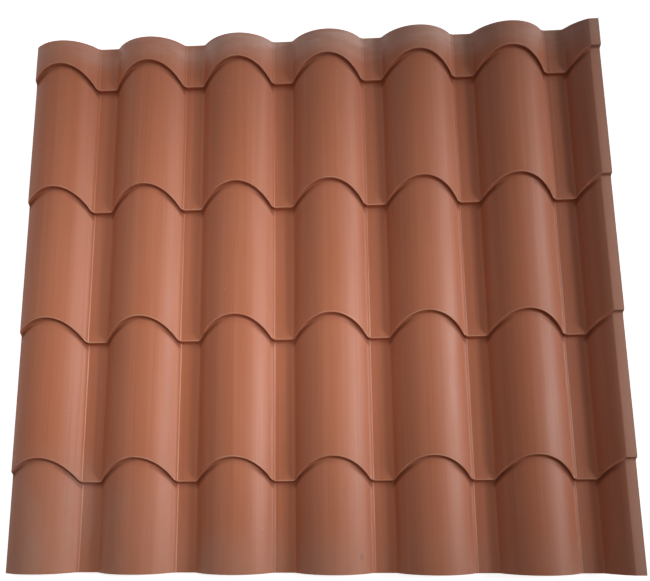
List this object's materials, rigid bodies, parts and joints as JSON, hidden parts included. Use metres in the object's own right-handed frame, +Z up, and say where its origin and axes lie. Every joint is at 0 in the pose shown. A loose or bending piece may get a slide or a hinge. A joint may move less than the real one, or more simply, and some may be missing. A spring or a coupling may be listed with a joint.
{
  "type": "tile-effect roof sheet",
  "caption": "One-piece moulded roof sheet with scalloped courses of round barrel tiles and flat pans, trimmed left edge and side-lap rib.",
  "frame": {"origin": "centre of the sheet's plan at the level floor that its pans' undersides rest on", "axes": "+X across the sheet towards the lap rib, +Y up the roof's slope, +Z up, out of the weather face"},
  "size_m": [1.0004, 0.934, 0.0408],
  "materials": {
    "terracotta_skin": "satin"
  },
  "bodies": {
    "root": {"roof_sheet": "terracotta_skin"}
  },
  "joints": []
}
